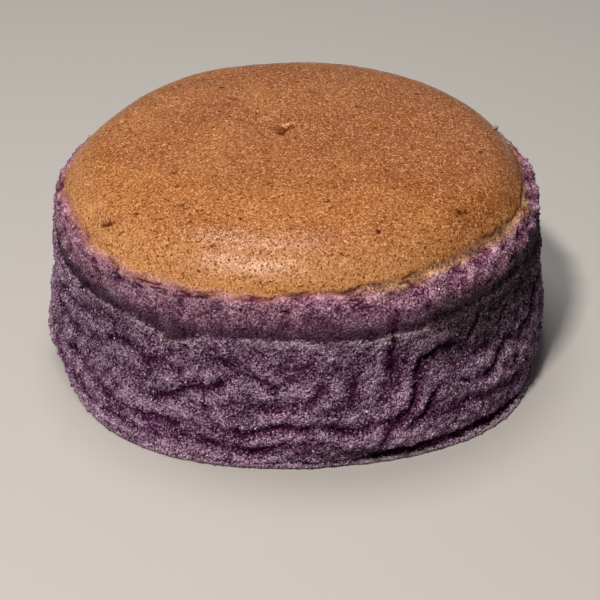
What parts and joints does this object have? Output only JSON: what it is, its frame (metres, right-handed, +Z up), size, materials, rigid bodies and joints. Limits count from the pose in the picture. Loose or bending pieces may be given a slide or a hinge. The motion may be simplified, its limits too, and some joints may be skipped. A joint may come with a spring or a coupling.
{
  "type": "jiggly cheesecake",
  "caption": "Whole round jiggly cheesecake, uncut: a tall soft purple crumb with wrinkled sides and a domed, browned crust, standing on its flat underside.",
  "frame": {"origin": "middle of the underside, on the surface that the cake stands on", "axes": "+Z up out of the domed crust, -Y towards the front that carries the strongest folds"},
  "size_m": [0.1984, 0.1958, 0.0905],
  "materials": {
    "crumb": "matt, open purple crumb with a browned, faintly shiny crust on top"
  },
  "bodies": {
    "root": {"cake": "crumb"}
  },
  "joints": []
}
